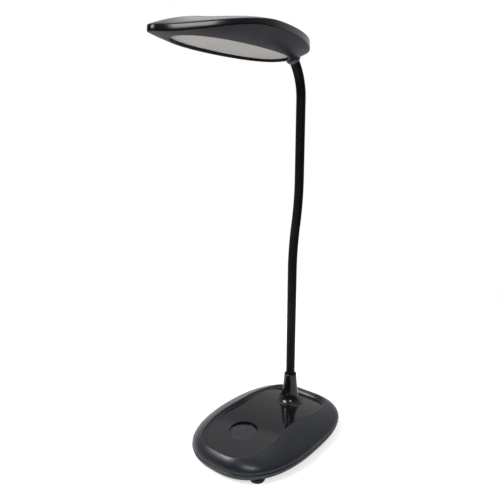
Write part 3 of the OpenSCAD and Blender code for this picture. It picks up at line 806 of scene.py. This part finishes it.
dome = {
    "wall": 3.2, "innerDrop": 1.9, "innerShares": (0.002, 0.12, 0.4, 0.6, 0.8, 0.93),
    "rabbet": (2.9, -2.2),  # inset, rise over the band line
    "lowerEdge": ((1.9, 0.1), (0.25, 0.1), (0.05, 0.2), (0, 0.5)),  # inset, rise over the seam
    "bandFoot": 0.5, "bandTop": -0.8, "bandLean": 0.2,
    "upperEdge": ((0.28, -0.5), (0.4, -0.3), (0.6, -0.17)),  # inset, rise over the band line
    "outerInset": 0.9,
}


def domeRing(k, inset, drop, t):
    # an inset copy of the outline, drawn in by k towards the dome's middle and raised as it goes
    x, y = headLine(t, inset)
    z = bandHeight(y)
    rise = (head["domeZ"] - z) * (1 - k ** head["domePower"])
    return x * k, mix(head["domeY"], y, k), z + rise - drop


def lineRing(line, inset, rise, t):
    # an inset copy of the outline, at a rise over the seam line or the band line
    x, y = headLine(t, inset)
    return x, y, line(y) + rise


def headTop():
    # the inside, then the upright band over the seam, a crisp edge, and the low dome inside it
    t = angles(head["around"])
    rings = [domeRing(k, dome["wall"], dome["innerDrop"], t) for k in dome["innerShares"]]
    rings.append(lineRing(bandHeight, *dome["rabbet"], t))
    rings += [lineRing(seamHeight, *step, t) for step in dome["lowerEdge"]]
    for g in np.linspace(0.15, 1, 7):
        x, y = headLine(t, dome["bandLean"] * g ** 2)
        low, high = seamHeight(y) + dome["bandFoot"], bandHeight(y) + dome["bandTop"]
        rings.append((x, y, mix(low, high, g)))
    rings += [lineRing(bandHeight, *step, t) for step in dome["upperEdge"]]
    rings += [domeRing(k, dome["outerInset"], 0, t) for k in (*np.linspace(0.985, 0.06, 34), 0.002)]
    return loftPiece("headTopCover", rings)


diffuser = {
    # inset from the light opening, and height over the head's underside
    "profile": ((3.0, 2.2), (0.5, 2.2), (0.25, 2.26), (0.15, 2.38), (0.15, 2.5), (-1.3, 2.5),
                (-1.3, 3.25), (3.0, 3.25)),
}


def diffuserPlate():
    # a flat plate with a rounded lower edge, and a lip that rests on the frame
    t = angles(head["around"])
    return loftPiece("lightDiffuser", [(*lightLine(t, inset), head["bottomZ"] + height)
                                       for inset, height in diffuser["profile"]])


print("making the head")
dress(headFrame(), "head", "satin_head", "head_frame")
dress(headTop(), "head", "gloss_head", "head_top_cover")
dress(diffuserPlate(), "head", "diffuser_plastic", "diffuser")


studio = {
    "floorColour": (0.75, 0.75, 0.75), "floorGlow": 0.62, "mirroredShare": 0.25,
    "floorRadii": (0.0005, 0.2, 0.5, 0.9), "floorAround": 96, "fadeFrom": 0.32, "fadeTo": 0.62,
    "white": (1, 1, 1), "brightSide": (-0.3, 0.5, 0.81), "darkFrom": -0.35, "brightFrom": 0.75,
    "darkStrength": 0.06, "brightStrength": 0.46, "mirroredRoom": 0.3,
}


def makeFloor():
    # a pale round floor that fades into the backdrop
    a = angles(studio["floorAround"])
    r = np.array(studio["floorRadii"])[:, None] / toMetres
    x, y = r * np.cos(a), r * np.sin(a) + originY
    faces = [*gridFaces(*x.shape), np.arange(len(a))]
    floor = makePiece("floor", np.stack([x, y, np.zeros_like(x)], -1), faces)
    look = Look("paleFloor")
    place = look.place()
    distance = look.add("ShaderNodeVectorMath", {"operation": "LENGTH"}, {0: place}, "Value")
    fade = look.ramp(distance, studio["fadeFrom"], studio["fadeTo"])
    seen, mirrored, through = rayKinds(look)
    glow = seen + (mirrored + through) * studio["mirroredShare"]
    paper = look.add("ShaderNodeBsdfDiffuse", None, {"Color": studio["floorColour"]})
    white = look.add("ShaderNodeEmission", None, {
        "Color": studio["white"], "Strength": glow * studio["floorGlow"]})
    lit = look.add("ShaderNodeAddShader", None, {0: paper, 1: white})
    clear = look.add("ShaderNodeBsdfTransparent")
    surface = look.add("ShaderNodeMixShader", None, {0: fade, 1: lit, 2: clear})
    look.add("ShaderNodeOutputMaterial", None, {"Surface": surface})
    floor.data.materials.append(look.holder)


def rayKinds(look):
    # whether a ray comes from the eye, from a reflection, or through something clear
    return [look.add("ShaderNodeLightPath", None, None, kind)
            for kind in ("Is Camera Ray", "Is Glossy Ray", "Is Transmission Ray")]


def makeWorld():
    # seen directly it is white; as light it is bright behind and above and dark in front
    world = bpy.data.worlds.new("studio")
    bpy.context.scene.world = world
    look = Look("studio", world)
    direction = look.add("ShaderNodeTexCoord", None, None, "Generated")
    facing = look.add("ShaderNodeVectorMath", {"operation": "DOT_PRODUCT"}, {
        0: direction, 1: studio["brightSide"]}, "Value")
    room = look.ramp(facing, studio["darkFrom"], studio["brightFrom"],
                     studio["darkStrength"], studio["brightStrength"])
    seen, mirrored, through = rayKinds(look)
    around = look.add("ShaderNodeBackground", None, {"Color": studio["white"], "Strength": room})
    backdrop = look.add("ShaderNodeBackground", None, {"Color": studio["white"], "Strength": 1.0})
    shown = (seen + mirrored * room * studio["mirroredRoom"] + through).clamp()
    both = look.add("ShaderNodeMixShader", None, {0: shown, 1: around, 2: backdrop})
    look.add("ShaderNodeOutputWorld", None, {"Surface": both})


lamps = {
    # place, the point that it faces, size across and down, and power
    "overhead": ((-0.35, 0.3, 1.25), (0, 0, 0.1), (1.6, 1.6), 3.5),
    "frontLeft": ((-0.45, -0.75, 1.0), (0, 0, 0.05), (0.6, 0.6), 13.0),
    "right": ((0.77, -0.76, 0.79), (0.02, -0.08, 0.336), (0.5, 0.25), 3.4),
}


def aim(thing, at, towards):
    # turned so that its own -Z points from one place to the other
    x, y, z = np.array(towards, float) - np.array(at, float)
    thing.location = at
    thing.rotation_euler = (math.pi / 2 + math.atan2(z, math.hypot(x, y)), 0, math.atan2(-x, y))


def makeLamps():
    for name, (at, towards, size, power) in lamps.items():
        data = bpy.data.lights.new(name, "AREA")
        data.shape = "RECTANGLE"
        data.size, data.size_y = size
        data.energy = power
        lamp = bpy.data.objects.new(name, data)
        bpy.context.scene.collection.objects.link(lamp)
        aim(lamp, at, towards)


camera = {
    "at": (0.24067, -0.29875, 0.26200), "tilt": 77.8966, "turn": 39.0497,
    "lens": 34.56, "sensorWidth": 36, "nearest": 0.01, "furthest": 20,
}


def makeCamera():
    data = bpy.data.cameras.new("camera")
    data.sensor_width = camera["sensorWidth"]
    data.lens = camera["lens"]
    data.clip_start = camera["nearest"]
    data.clip_end = camera["furthest"]
    eye = bpy.data.objects.new("camera", data)
    bpy.context.scene.collection.objects.link(eye)
    eye.location = camera["at"]
    eye.rotation_euler = (math.radians(camera["tilt"]), 0, math.radians(camera["turn"]))
    bpy.context.scene.camera = eye


print("making the studio")
makeFloor()
makeWorld()
makeLamps()
makeCamera()
bpy.context.scene.view_settings.view_transform = "Standard"

print("done")
